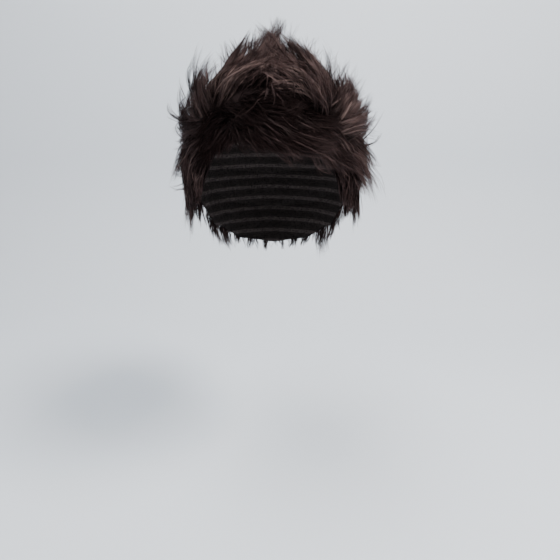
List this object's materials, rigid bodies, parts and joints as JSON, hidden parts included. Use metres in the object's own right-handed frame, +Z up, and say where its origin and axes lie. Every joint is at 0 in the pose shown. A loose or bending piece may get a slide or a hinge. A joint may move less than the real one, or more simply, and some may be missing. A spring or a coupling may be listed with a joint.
{
  "type": "short spiky faux-hawk wig",
  "caption": "Short shaggy dark brown wig with a raised, pointed crest, a side-swept fringe, flicked sides, sideburns and a tapered nape on a thin open cap.",
  "frame": {"origin": "the middle of the cap's crown on the inside, where it sits on the top of the head", "axes": "+Z up along the wearer's height, -Y the way the face looks, +X to the wearer's left"},
  "size_m": [0.1886, 0.2386, 0.2195],
  "materials": {
    "hair": "dark brown synthetic fibre with a soft sheen",
    "cap_net": "matt dark net"
  },
  "bodies": {
    "root": {"wig_cap": "cap_net", "crest_hair": "hair", "fringe_hair": "hair", "left_side_hair": "hair", "right_side_hair": "hair", "left_sideburn": "hair", "right_sideburn": "hair", "back_hair": "hair", "nape_hair": "hair"}
  },
  "joints": []
}
